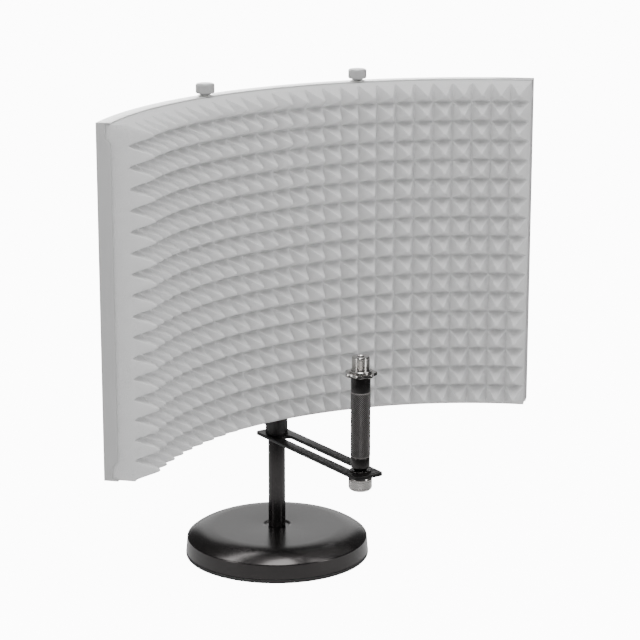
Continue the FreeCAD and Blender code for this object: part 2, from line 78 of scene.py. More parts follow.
FOAM_COLUMNS = 26
FOAM_ROWS = 17
FOAM_STEPS = 14               # mesh steps across one pyramid
FOAM_DEPTH = 47 * MM          # from the foam's back to the pyramids' tips
PYRAMID = 20.8 * MM           # depth of the pyramids
TIP_DROP = 0.25 * MM          # how much the tips fall short of the full depth
FOAM_UNEVEN = 0.45 * MM       # how much the pyramids differ in height
FOAM_GRAIN = 0.12 * MM        # fine waviness of their faces
RIDGE_ROUND = 0.05            # softening of the pyramids' ridges, as a share of their height
TIP_ROUND = 0.08              # softening of the tips, as a share of a cell
VALLEY_ROUND = 0.10           # softening of the valleys, as a share of a cell

BASE_FLAT_RADIUS = 58 * MM    # where the base's flat top turns into its shoulder
BASE_SIDE_TOP = (84.3 * MM, 17.2 * MM)    # radius and height where the shoulder meets the side
BASE_EDGE_ROUND = 1.8 * MM
BASE_BOLT_HOLE = 4.5 * MM
DIMPLE_RADIUS = 13 * MM
DIMPLE_DEPTH = 1.5 * MM
BOOT_RIM = 2.2 * MM

STUD_HOLE = 4.82 * MM         # the arm's hole for the column's stud
STUD_WASHER_HOLE = 4.96 * MM
ROD_RADIUS = 4 * MM           # the M8 rod inside the post
ROD_HOLE = 4.06 * MM          # holes that slide or turn on the rod
KNOB_WASHER_HOLE = 2.56 * MM
ARM_CORNER = 4 * MM
ARM_EDGE = 0.45 * MM          # softening of the arm's edges
SLOT_RADIUS = 4.65 * MM
SLOT_BACK = -19 * MM          # centre of the slot's rear end

KNURL_AROUND = 30             # diamonds round the grip
NUT_KNURL_AROUND = 36         # diamonds round the thumb nut
KNURL_STEPS = 4               # mesh steps across one diamond
KNURL_DEPTH = 0.42 * MM
THREAD_PITCH = 25.4 * MM / 27
THREAD_DEPTH = 0.2 * MM
THREAD_FLAT = 0.12            # share of the pitch that is flat at the root and at the crest
THREAD_FLANK = 1 - 2 * THREAD_FLAT
RING_RADIUS = 14.5 * MM
RING_LOBES = 7
RING_LOBE_DEPTH = 1.9 * MM
RING_TURN = math.radians(19)

# Camera and studio ------------------------------------------------------------------------------
SUBJECT = Vector((33.6, -22.2, 224.6)) * MM
CAMERA_AZIMUTH = -33.42       # degrees; 0 is the user's side and 90 is +X
CAMERA_ELEVATION = 14.38
CAMERA_DISTANCE = 2.0987
CAMERA_LENS = 128.79

WHITE = 12.0                  # what the camera sees of the floor and the background
FLOOR_RADIUS = 14.0
FLOOR_SINK = 0.02 * MM        # how far the floor lies below the object
FLOOR_LIT = 0.7               # what the lights already give the floor
TABLE_PALE = (0.65, 0.65, 0.65)
TABLE_DARK = (0.05, 0.05, 0.05)           # beyond the table's edge, as gloss sees it
TABLE_GLOW = 0.45             # how much brighter the table is in gloss
TABLE_EDGE = (0.35, 0.60)     # gloss sees the table fade out between these distances
AMBIENT = 0.12                # the studio's darkness, as glossy surfaces mirror it
SOFT_AMBIENT = (0.45, 1.15)   # the soft light that matt surfaces get from the horizon and from above
SOFT_RISE = (0.0, 0.8)        # it grows between these sines of elevation
BACKDROP = 1.5                # the backdrop that lies behind the base in its reflections
BACKDROP_BEHIND = (0.2, 0.5)  # it fades in between these cosines from straight behind
BACKDROP_SIDE = (0.20, 0.40)  # and out between these sines to either side
BACKDROP_TOP = (0.52, 0.70)   # and between these sines of elevation

# Places from the frame --------------------------------------------------------------------------
PANEL_LOW, PANEL_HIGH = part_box("back_panel")
FOAM_LOW, FOAM_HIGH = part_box("acoustic_foam")
ARM_LOW, ARM_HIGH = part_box("slotted_arm")
GRIP_LOW, GRIP_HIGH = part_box("knurled_grip")
ARC_CENTRE_Y = PANEL_HIGH.y - ARC_RADIUS
HALF_ANGLE = math.asin(PANEL_HIGH.x / ARC_RADIUS)
POST_Y = (GRIP_LOW.y + GRIP_HIGH.y) / 2
COLUMN = Vector((0, 0, 0))
POST = Vector((0, POST_Y, 0))


# Node trees -------------------------------------------------------------------------------------
class Wiring:
    """Short calls for the nodes of a tree."""

    def __init__(self, tree):
        self.tree = tree

    def node(self, kind, **settings):
        made = self.tree.nodes.new(kind)
        for name, value in settings.items():
            setattr(made, name, value)
        return made

    def feed(self, source, target):
        """Give an input a number, or link another node's output to it."""
        if isinstance(source, (int, float)):
            target.default_value = source
        else:
            self.tree.links.new(source, target)

    def spread(self, value, low, high, start=0.3, end=0.7, **settings):
        """Map the values from start to end onto low to high, by default a pattern's middle part."""
        made = self.node("ShaderNodeMapRange", **settings)
        for name, number in (
            ("Value", value), ("From Min", start), ("From Max", end), ("To Min", low), ("To Max", high),
        ):
            self.feed(number, made.inputs[name])
        return made.outputs["Result"]

    def ramp(self, value, start, end, low, high):
        """A smooth step from low to high while the value goes from start to end."""
        return self.spread(value, low, high, start, end, interpolation_type="SMOOTHSTEP")

    def times(self, first, second, plus=None):
        """first times second, and plus a third if it is given."""
        operation = "MULTIPLY" if plus is None else "MULTIPLY_ADD"
        made = self.node("ShaderNodeMath", operation=operation)
        terms = (first, second) if plus is None else (first, second, plus)
        for term, target in zip(terms, made.inputs):
            self.feed(term, target)
        return made.outputs["Value"]

    def choose(self, factor, otherwise, chosen):
        """The number chosen where factor is 1, and otherwise where it is 0."""
        made = self.node("ShaderNodeMix", data_type="FLOAT")
        for name, value in (("Factor", factor), ("A", otherwise), ("B", chosen)):
            self.feed(value, made.inputs[name])
        return made.outputs["Result"]


# Materials --------------------------------------------------------------------------------------
class Finish(Wiring):
    """A material with short calls for the nodes that these finishes share."""

    def __init__(self, name):
        self.material = bpy.data.materials.new(name)
        self.material.use_nodes = True
        super().__init__(self.material.node_tree)
        self.shader = self.tree.nodes["Principled BSDF"]
        self.coordinates = self.node("ShaderNodeTexCoord").outputs["Object"]

    def set(self, **values):
        for name, value in values.items():
            self.shader.inputs[name.replace("_", " ")].default_value = value

    def noise(self, scale, detail=3.0, roughness=0.5, stretch=None):
        """Noise of the given scale per metre, drawn out along an axis if stretch is given."""
        made = self.node("ShaderNodeTexNoise")
        for name, number in (("Scale", scale), ("Detail", detail), ("Roughness", roughness)):
            made.inputs[name].default_value = number
        source = self.coordinates
        if stretch:
            mapping = self.node("ShaderNodeMapping")
            mapping.inputs["Scale"].default_value = stretch
            self.feed(source, mapping.inputs["Vector"])
            source = mapping.outputs["Vector"]
        self.feed(source, made.inputs["Vector"])
        return made.outputs["Fac"]

    def cells(self, scale):
        """Distance to the nearest cell centre, for open-cell foam."""
        made = self.node("ShaderNodeTexVoronoi")
        made.inputs["Scale"].default_value = scale
        self.feed(self.coordinates, made.inputs["Vector"])
        return made.outputs["Distance"]

    def attribute(self, name):
        """A number stored on the mesh's vertices."""
        return self.node("ShaderNodeAttribute", attribute_name=name).outputs["Fac"]

    def add(self, first, second, share):
        """first plus share times second."""
        return self.times(second, share, plus=first)

    def colours(self, value, dark, light, start=0.3, end=0.7):
        """Colour that runs from dark to light over a pattern."""
        made = self.node("ShaderNodeValToRGB")
        low, high = made.color_ramp.elements
        low.position, low.color = start, (*dark, 1)
        high.position, high.color = end, (*light, 1)
        self.feed(value, made.inputs["Fac"])
        self.feed(made.outputs["Color"], self.shader.inputs["Base Color"])

    def roughness(self, value):
        self.feed(value, self.shader.inputs["Roughness"])

    def bump(self, height, distance, strength=1.0):
        made = self.node("ShaderNodeBump")
        made.inputs["Distance"].default_value = distance
        made.inputs["Strength"].default_value = strength
        self.feed(height, made.inputs["Height"])
        self.feed(made.outputs["Normal"], self.shader.inputs["Normal"])


def gloss_black():
    """Black stove enamel with a faint orange peel."""
    m = Finish("gloss_black")
    m.colours(m.noise(60), (0.0065, 0.006, 0.006), (0.010, 0.0095, 0.0095))
    m.roughness(m.spread(m.noise(900, 5), 0.20, 0.26))
    m.bump(m.noise(420, 2), 0.00002, 0.3)
    m.set(Specular_Tint=(1.0, 0.945, 0.935, 1))
    return m.material


def arm_black():
    """The same enamel on flat bar, a little duller."""
    m = Finish("arm_black")
    m.colours(m.noise(60), (0.0065, 0.006, 0.006), (0.010, 0.0095, 0.0095))
    m.roughness(m.spread(m.noise(900, 5), 0.28, 0.38))
    m.bump(m.noise(700, 3), 0.00003, 0.4)
    m.set(Specular_IOR_Level=0.2)
    return m.material


def textured_black():
    """Black powder coat with a fine wrinkle."""
    m = Finish("textured_black")
    grain = m.noise(1700, 4, 0.6)
    m.colours(grain, (0.007, 0.0065, 0.0065), (0.017, 0.016, 0.016))
    m.roughness(m.spread(grain, 0.42, 0.62))
    m.bump(grain, 0.00018, 0.8)
    return m.material


def knurled_black():
    """Black oxide on cut steel, with a painted highlight on the diamonds' tips, painted shade in the
    grooves and random tone.
    """
    m = Finish("knurled_black")
    knurl_tone = m.noise(500, 5, 0.6)
    # painted highlight and shade: tips made brighter and grooves darker by how proud each vertex stands
    painted_tip_light_and_tone = m.add(m.attribute("proud"), knurl_tone, 0.5)
    m.colours(painted_tip_light_and_tone, (0.016, 0.015, 0.0145), (0.20, 0.185, 0.18), 0.75, 1.35)
    m.roughness(m.spread(knurl_tone, 0.28, 0.42))
    m.bump(m.noise(5200, 2), 0.00002, 0.5)
    return m.material


def shield_grey():
    """Light grey powder coat on sheet steel."""
    m = Finish("shield_grey")
    grain = m.noise(1500, 4, 0.55)
    m.colours(m.add(m.noise(26, 2), grain, 0.25), (0.60, 0.60, 0.60), (0.63, 0.63, 0.63), 0.4, 0.8)
    m.roughness(m.spread(grain, 0.30, 0.40))
    m.bump(grain, 0.00008, 0.55)
    return m.material


def foam_grey():
    """Open-cell polyurethane foam: fine pores, light that seeps through thin parts, slow drifts of tone."""
    m = Finish("foam_grey")
    pores = m.cells(1150)
    tone = m.add(m.noise(34, 4), m.noise(620, 3, 0.6), 1.4)
    m.colours(m.add(tone, pores, 0.25), (0.86, 0.86, 0.86), (1.0, 1.0, 1.0), 1.0, 1.45)
    m.roughness(m.spread(pores, 0.88, 1.0, 0.1, 0.6))
    m.bump(m.add(m.noise(1500, 3), pores, -0.8), 0.0006, 0.55)
    m.set(Subsurface_Weight=0.8, Subsurface_Radius=(1, 1, 1), Subsurface_Scale=0.0085)
    m.set(Specular_IOR_Level=0.1, Sheen_Weight=0.3, Sheen_Roughness=0.5)
    return m.material


def knob_grey():
    """Satin moulded plastic."""
    m = Finish("knob_grey")
    grain = m.noise(1900, 3)
    m.colours(m.noise(70, 3), (0.42, 0.42, 0.42), (0.49, 0.49, 0.49))
    m.roughness(m.spread(grain, 0.33, 0.45))
    m.bump(grain, 0.00004, 0.4)
    return m.material


def chrome():
    """Bright nickel-chrome plate with fine turning marks."""
    m = Finish("chrome")
    marks = m.noise(300, 4, 0.6, stretch=(1, 1, 14))
    m.colours(m.noise(200, 3), (0.34, 0.328, 0.316), (0.42, 0.408, 0.396))
    m.roughness(m.spread(marks, 0.14, 0.24))
    m.bump(marks, 0.000015, 0.35)
    m.set(Metallic=1.0)
    return m.material


def zinc_steel():
    """Zinc plate: pale, slightly cloudy metal."""
    m = Finish("zinc_steel")
    cloud = m.noise(350, 5, 0.6)
    m.colours(cloud, (0.42, 0.42, 0.41), (0.62, 0.62, 0.60))
    m.roughness(m.spread(cloud, 0.24, 0.42))
    m.bump(m.noise(2600, 3), 0.00002, 0.5)
    m.set(Metallic=1.0)
    return m.material


def rubber_black():
    """Matte black rubber with a faint bloom."""
    m = Finish("rubber_black")
    bloom = m.noise(240, 5, 0.65)
    m.colours(bloom, (0.008, 0.008, 0.008), (0.022, 0.021, 0.021))
    m.roughness(m.spread(bloom, 0.55, 0.78))
    m.bump(m.noise(2400, 3), 0.00006, 0.6)
    return m.material


FINISHES = {
    make.__name__: make()
    for make in (
        gloss_black, arm_black, textured_black, knurled_black, shield_grey, foam_grey, knob_grey, chrome,
        zinc_steel, rubber_black,
    )
}


# Mesh helpers -----------------------------------------------------------------------------------
def grid_faces(rows, columns, closed_rows=False, closed_columns=False):
    """Quads of a rows by columns lattice of vertices, numbered row by row."""
    faces = []
    for i in range(rows if closed_rows else rows - 1):
        for j in range(columns if closed_columns else columns - 1):
            a, b = i * columns + j, i * columns + (j + 1) % columns
            c = (i + 1) % rows * columns + (j + 1) % columns
            d = (i + 1) % rows * columns + j
            faces.append((a, b, c, d))
    return faces


def piece(name, vertices, faces, finish, sharp=math.radians(35)):
    """An object from vertices and faces, with outward normals, smooth except at sharp edges."""
    mesh = bpy.data.meshes.new(name)
    mesh.from_pydata([tuple(v) for v in vertices], [], faces)
    bm = bmesh.new()
    bm.from_mesh(mesh)
    bmesh.ops.recalc_face_normals(bm, faces=bm.faces)
    bm.to_mesh(mesh)
    bm.free()
    mesh.polygons.foreach_set("use_smooth", [True] * len(mesh.polygons))
    mesh.set_sharp_from_angle(angle=sharp)
    mesh.materials.append(FINISHES[finish])
    made = bpy.data.objects.new(name, mesh)
    bpy.context.scene.collection.objects.link(made)
    return made


def place(made, finish, body, *nodes):
    """The piece rides on body and stands for the CAD nodes, which are hidden; finish is not used."""
    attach(made, body)
    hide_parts(*nodes)
    return made


def arc_points(centre, radius, start, end, count):
    """Points on an arc in a turned profile; angles in degrees, 0 outwards and 90 up."""
    steps = [math.radians(start + (end - start) * i / count) for i in range(count + 1)]
    return [(centre[0] + radius * math.cos(a), centre[1] + radius * math.sin(a)) for a in steps]


def circle(centre, radius, z, count):
    """Points round a level circle."""
    angles = [TURN * k / count for k in range(count)]
    return [(centre.x + radius * math.cos(a), centre.y + radius * math.sin(a), z) for a in angles]


def rounded(points, radii, count=4):
    """A closed (radius, height) outline with its corners rounded; 0 keeps a corner sharp."""
    made = []
    for i, (corner, radius) in enumerate(zip(points, radii)):
        p = Vector(corner)
        if radius <= 0:
            made.append(tuple(p))
            continue
        a = (Vector(points[i - 1]) - p).normalized()
        b = (Vector(points[(i + 1) % len(points)]) - p).normalized()
        half = a.angle(b) / 2
        reach = radius / math.tan(half)
        start, end = p + a * reach, p + b * reach
        centre = p + (a + b).normalized() * radius / math.sin(half)
        first, last = start - centre, end - centre
        swing = first.angle(last)
        for k in range(count + 1):
            t = k / count
            s = math.sin(swing)
            spot = first * (math.sin((1 - t) * swing) / s) + last * (math.sin(t * swing) / s)
            made.append(tuple(centre + spot))
    return made


def turned(outline, centre, segments):
    """Vertices of a (radius, height) outline turned about a vertical axis."""
    vertices = []
    for i in range(segments):
        a = TURN * i / segments
        c, s = math.cos(a), math.sin(a)
        vertices += [(centre.x + r * c, centre.y + r * s, z) for r, z in outline]
    return vertices


def lathe(name, outline, finish, centre=COLUMN, segments=96):
    """A ring solid turned about a vertical axis from a closed (radius, height) outline."""
    vertices = turned(outline, centre, segments)
    faces = grid_faces(segments, len(outline), closed_rows=True, closed_columns=True)
    return piece(name, vertices, faces, finish)


def lathe_solid(name, profile, finish, centre=COLUMN, segments=96):
    """A solid turned from an open profile whose first and last points lie on the axis."""
    inner = profile[1:-1]
    vertices = turned(inner, centre, segments)
    faces = grid_faces(segments, len(inner), closed_rows=True)
    low, high = len(vertices), len(vertices) + 1
    vertices += [(centre.x, centre.y, profile[0][1]), (centre.x, centre.y, profile[-1][1])]
    for i in range(segments):
        j = (i + 1) % segments
        faces.append((low, i * len(inner), j * len(inner)))
        faces.append((high, (j + 1) * len(inner) - 1, (i + 1) * len(inner) - 1))
    return piece(name, vertices, faces, finish)


def on_arc(radius, angle, z):
    """A point on a cylinder about the tray's axis; angle 0 is straight back."""
    return Vector((radius * math.sin(angle), ARC_CENTRE_Y + radius * math.cos(angle), z))


# The stand --------------------------------------------------------------------------------------
def base():
    """The enamelled casting: dimple, nearly flat top, shoulder arc, small edge and leaning side."""
    low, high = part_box("base_casting")
    side_r, side_z = BASE_SIDE_TOP
    boot_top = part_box("base_rubber_boot")[1].z
    shoulder_z = high.z - 0.5 * MM
    run, drop = side_r - BASE_FLAT_RADIUS, shoulder_z - side_z
    bend = (run ** 2 + drop ** 2) / (2 * drop)
    steepest = math.degrees(math.asin(run / bend))
    centre = (BASE_FLAT_RADIUS, shoulder_z - bend)
    shoulder = [(BASE_FLAT_RADIUS - 1 * MM, shoulder_z)]
    shoulder += arc_points(centre, bend, 90, 90 - steepest, 20)[:-1]
    dimple, steps = [], 12
    start, slope = DIMPLE_RADIUS - 3.4 * MM, 4.4 * MM
    for i in range(steps + 1):
        t = i / steps
        ease = t * t * (3 - 2 * t)
        dimple.append((start + slope * t, high.z - DIMPLE_DEPTH * (1 - ease)))
    foot, seat = high.x - 0.1 * MM, boot_top + 0.2 * MM
    inner = high.x - BOOT_RIM - 6 * MM
    outline = [(BASE_BOLT_HOLE, high.z - DIMPLE_DEPTH), *dimple, *shoulder, BASE_SIDE_TOP]
    outline += [(foot, boot_top + 0.6 * MM), (foot - 0.3 * MM, seat), (inner, seat), (inner, low.z)]
    hollow = [(inner - 4 * MM, 0), (72 * MM, 7 * MM), (30 * MM, 11 * MM), (BASE_BOLT_HOLE, 9 * MM)]
    outline += [(r, low.z + rise) for r, rise in hollow]
    radii = [BASE_EDGE_ROUND if point == BASE_SIDE_TOP else 0 for point in outline]
    made = lathe("base_enamel", rounded(outline, radii, 5), "gloss_black", segments=160)
    return place(made, "gloss_black", "stand", "base_casting")


def boot():
    """The rubber disc under the base, with its rim round the casting's edge."""
    low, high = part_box("base_rubber_boot")
    r, floor = high.x, 1.5 * MM
    under, lip = 0.9 * MM, 0.45 * MM          # roundings of the lower edge and of the rim's top
    profile = [(0, low.z), *arc_points((r - under, low.z + under), under, -90, 0, 5)]
    profile += arc_points((r - lip, high.z - lip), lip, 0, 90, 4)
    profile += [(r - BOOT_RIM, high.z), (r - BOOT_RIM - 0.1 * MM, floor), (0, floor)]
    made = lathe_solid("rubber_boot", profile, "rubber_black", segments=160)
    return place(made, "rubber_black", "stand", "base_rubber_boot")


def tube():
    """The column's tube, with softened ends."""
    low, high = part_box("column_tube")
    r, bore = high.x, high.x - 1.5 * MM
    points = [(bore, low.z), (r, low.z), (r, high.z), (bore, high.z)]
    made = lathe("column_enamel", rounded(points, (0, 0.5 * MM, 0.6 * MM, 0.2 * MM)), "gloss_black")
    return place(made, "gloss_black", "stand", "column_tube")


def flat_washer(name, node, body, hole, centre, finish="chrome"):
    """A flat washer with rounded outer edges, the size of its CAD node."""
    low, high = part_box(node)
    r = (high.x - low.x) / 2
    edge = (high.z - low.z) * 0.3
    points = [(hole, low.z), (r, low.z), (r, high.z), (hole, high.z)]
    made = lathe(name, rounded(points, (0, edge, edge, 0.1 * MM), 3), finish, centre, 72)
    return place(made, finish, body, node)


# The arm ----------------------------------------------------------------------------------------
def arm():
    """Flat bar with rounded corners, a long slot and softened edges."""
    def loop(x, y0, y1, radius, count):
        """Points round a rectangle with round corners, counter-clockwise."""
        points = []
        for cx, cy, start in (
            (x - radius, y1 - radius, 0), (radius - x, y1 - radius, 90),
            (radius - x, y0 + radius, 180), (x - radius, y0 + radius, 270),
        ):
            for k in range(count + 1):
                a = math.radians(start + 90 * k / count)
                points.append((cx + radius * math.cos(a), cy + radius * math.sin(a)))
        return points

    curve = bpy.data.curves.new("arm_outline", "CURVE")
    curve.dimensions = "2D"
    curve.fill_mode = "BOTH"
    slot_corner = SLOT_RADIUS - 0.01 * MM     # a hair less, so that the round ends' points stay apart
    loops = [
        loop(ARM_HIGH.x, ARM_LOW.y, ARM_HIGH.y, ARM_CORNER, 8),
        loop(SLOT_RADIUS, POST_Y - SLOT_RADIUS, SLOT_BACK + SLOT_RADIUS, slot_corner, 16),
        [point[:2] for point in circle(COLUMN, STUD_HOLE, 0, 48)],
    ]
    for points in loops:
        spline = curve.splines.new("POLY")
        spline.points.add(len(points) - 1)
        for spot, (x, y) in zip(spline.points, points):
            spot.co = (x, y, 0, 1)
        spline.use_cyclic_u = True
    curve.extrude = (ARM_HIGH.z - ARM_LOW.z) / 2 - ARM_EDGE
    curve.bevel_depth = ARM_EDGE
    curve.bevel_resolution = 3
    curve.offset = -ARM_EDGE
    flat = bpy.data.objects.new("arm_curve", curve)
    bpy.context.scene.collection.objects.link(flat)
    mesh = bpy.data.meshes.new_from_object(flat)
    bpy.data.objects.remove(flat)
    mesh.transform(Matrix.Translation((0, 0, (ARM_LOW.z + ARM_HIGH.z) / 2)))
    bm = bmesh.new()
    bm.from_mesh(mesh)
    bmesh.ops.remove_doubles(bm, verts=bm.verts, dist=0.00001)
    bmesh.ops.recalc_face_normals(bm, faces=bm.faces)
    bm.to_mesh(mesh)
    bm.free()
    mesh.polygons.foreach_set("use_smooth", [True] * len(mesh.polygons))
    mesh.set_sharp_from_angle(angle=math.radians(30))
    mesh.materials.clear()
    mesh.materials.append(FINISHES["arm_black"])
    made = bpy.data.objects.new("arm_bar", mesh)
    bpy.context.scene.collection.objects.link(made)
    return place(made, "gloss_black", "arm", "slotted_arm")


# The microphone post ----------------------------------------------------------------------------
def knurl_height(u, w, land):
    """Height share of two crossed families of V grooves; it reaches 1 at the share land of a ridge."""
    first, second = (u + w) % 1, (u - w) % 1
    ridge = 2 * min(first, 1 - first, second, 1 - second)
    return min(ridge / land, 1)


def split_on_grooves(quads, heights):
    """Triangles that split each quad along its lower diagonal, which keeps the grooves sharp."""
    faces = []
    for a, b, c, d in quads:
        if heights[a] + heights[c] < heights[b] + heights[d]:
            faces += [(a, b, c), (a, c, d)]
        else:
            faces += [(a, b, d), (b, c, d)]
    return faces


def diamond_knurl(name, finish, centre, around, z0, z1, surface, bore):
    """A knurled sleeve: two families of V grooves leave a field of low pyramids.

    surface(t) gives the radius and the share of knurl depth at height share t.
    """
    columns = around * KNURL_STEPS
    pitch = TURN * surface(0.5)[0] / around
    rows = round((z1 - z0) / pitch) * KNURL_STEPS + 1
    heights, vertices = [], []
    for i in range(rows):
        t = i / (rows - 1)
        radius, share = surface(t)
        for j in range(columns):
            height = knurl_height(j / KNURL_STEPS, i / KNURL_STEPS, 0.82)
            depth = KNURL_DEPTH * share * (1 - height)
            r = radius - depth
            a = TURN * j / columns
            heights.append(-depth)
            z = z0 + (z1 - z0) * t
            vertices.append((centre.x + r * math.cos(a), centre.y + r * math.sin(a), z))
    faces = split_on_grooves(grid_faces(rows, columns, closed_columns=True), heights)
    low, high = len(vertices), len(vertices) + columns
    for z in (z0, z1):
        vertices += circle(centre, bore, z, columns)
    last = (rows - 1) * columns
    for j in range(columns):
        k = (j + 1) % columns
        faces.append((j, low + j, low + k, k))
        faces.append((last + j, last + k, high + k, high + j))
        faces.append((low + j, high + j, high + k, low + k))
    made = piece(name, vertices, faces, finish, math.radians(50))
    # store proudness for the painted tip highlight and groove shade
    mark_tips_for_painted_light(made, heights)
    return made


def mark_tips_for_painted_light(made, heights):
    """Store how proud each vertex of a knurl stands: 1 on the diamonds' tips and 0 in the grooves; the
    finish paints highlight on the tips and shade in the grooves from it.
    """
    knurl_tone = made.data.attributes.new("proud", "FLOAT", "POINT")
    deepest = min(heights)
    for i, height in enumerate(heights):
        knurl_tone.data[i].value = 1 - height / deepest


def grip():
    """The knurled sleeve of the post, with a narrow plain chamfer at each end."""
    r, chamfer = GRIP_HIGH.x, 0.014

    def surface(t):
        edge = min(t, 1 - t)
        share = min(1.0, edge / (2 * chamfer))
        return r - 0.7 * MM * max(0.0, 1 - edge / chamfer), share

    made = diamond_knurl(
        "knurled_sleeve", "knurled_black", POST, KNURL_AROUND, GRIP_LOW.z, GRIP_HIGH.z, surface, ROD_RADIUS
    )
    return place(made, "knurled_black", "post", "knurled_grip")


def collars():
    """Turned collars above and below the grip, and the thin washers over and under the arm."""
    low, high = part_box("post_lower_collar")
    r, inner = high.x, ROD_RADIUS
    points = [
        (inner, low.z), (inner + 1 * MM, low.z), (r, low.z + 2.9 * MM), (r, high.z), (inner, high.z),
    ]
    outline = rounded(points, (0, 0.3 * MM, 0.6 * MM, 0.55 * MM, 0))
    lower = lathe("lower_collar", outline, "gloss_black", POST)
    place(lower, "gloss_black", "post", "post_lower_collar")
    low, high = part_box("post_upper_collar")
    r = high.x
    points = [(inner, low.z), (r, low.z), (r, high.z), (inner, high.z)]
    outline = rounded(points, (0, 0.6 * MM, 0.45 * MM, 0))
    upper = lathe("upper_collar", outline, "gloss_black", POST)
    place(upper, "gloss_black", "post", "post_upper_collar")
    flat_washer("arm_top_washer", "post_upper_washer", "post_slider", ROD_HOLE, POST, "gloss_black")
    flat_washer("arm_under_washer", "post_lower_washer", "nut_washer", ROD_HOLE, POST)


def mic_adapter():
    """The 5/8 inch, 27 threads per inch stud, with its real helix and a countersunk hole."""
    low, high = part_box("mic_adapter")
    r, root, hole_r, hole_depth = high.x, high.x - 0.6 * MM, 3 * MM, 7 * MM
    segments, per_turn = 72, 8
    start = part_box("lock_ring")[1].z - 4.4 * MM
    end = high.z - 0.8 * MM
    rows = round((end - start) / THREAD_PITCH * per_turn)
    threaded = [start + (end - start) * i / rows for i in range(rows + 1)]
    outline = [(root, low.z), (root, start - 0.3 * MM), *((None, z) for z in threaded)]
    outline += [(r - 0.75 * MM, high.z - 0.1 * MM), (r - 1.1 * MM, high.z)]
    outline += [(hole_r + 0.7 * MM, high.z), (hole_r, high.z - 0.7 * MM)]
    outline += [(hole_r, high.z - hole_depth + 0.2 * MM)]
    vertices = []
    for k in range(segments):
        share = k / segments
        c, s = math.cos(TURN * share), math.sin(TURN * share)
        for radius, z in outline:
            if radius is None:
                phase = ((z - start) / THREAD_PITCH - share) % 1
                height = min(1.0, max(0.0, (abs(phase - 0.5) * 2 - THREAD_FLAT) / THREAD_FLANK))
                fade = min(1.0, (z - start) / THREAD_PITCH, (end - z) / THREAD_PITCH + 0.25)
                radius = r - THREAD_DEPTH * (1 - height * max(0.0, fade))
            vertices.append((POST.x + radius * c, POST.y + radius * s, z))
    faces = grid_faces(segments, len(outline), closed_rows=True)
    bottom, pit = len(vertices), len(vertices) + 1
    vertices += [(POST.x, POST.y, low.z), (POST.x, POST.y, high.z - hole_depth - 0.8 * MM)]
    for k in range(segments):
        j = (k + 1) % segments
        faces.append((bottom, k * len(outline), j * len(outline)))
        faces.append((pit, (j + 1) * len(outline) - 1, (k + 1) * len(outline) - 1))
    made = piece("mic_thread_stud", vertices, faces, "chrome", math.radians(28))
    return place(made, "chrome", "post", "mic_adapter")


def lock_ring():
    """A seven-lobed ring with a dished top, rounded rim and a boss round the thread."""
    low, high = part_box("lock_ring")
    boss_r, boss_z, edge = 10 * MM, high.z, 0.4 * MM
    rim_z, bore = high.z - 1.6 * MM, 8.0 * MM
    # Each point: share of the way from the bore to the lobed rim, height, and a step outwards in mm.
    profile = [
        (0.0, low.z, 0), (1.0, low.z, -0.5), (1.0, low.z + 0.5 * MM, 0), (1.0, rim_z - 0.7 * MM, 0),
        (1.0, rim_z - 0.2 * MM, -0.25), (1.0, rim_z, -0.8), (0.62, rim_z - 0.35 * MM, 0),
        (0.25, rim_z - 0.35 * MM, 0),
    ]
    segments = RING_LOBES * 28
    vertices = []
    for i in range(segments):
        a = TURN * i / segments
        lobe = math.cos(RING_LOBES * (a - RING_TURN))
        outer = RING_RADIUS - RING_LOBE_DEPTH * (0.5 - 0.5 * lobe) ** 0.75
        c, s = math.cos(a), math.sin(a)
        ring = [(bore + (outer - bore) * share + inset * MM, z) for share, z, inset in profile]
        ring += [(boss_r, rim_z - 0.3 * MM), (boss_r, boss_z - edge), (boss_r - edge, boss_z)]
        ring += [(bore + edge, boss_z), (bore, boss_z - edge)]
        vertices += [(POST.x + r * c, POST.y + r * s, z) for r, z in ring]
    faces = grid_faces(segments, len(ring), closed_rows=True, closed_columns=True)
    made = piece("lobed_lock_ring", vertices, faces, "chrome", math.radians(40))
    return place(made, "chrome", "lock_ring", "lock_ring")


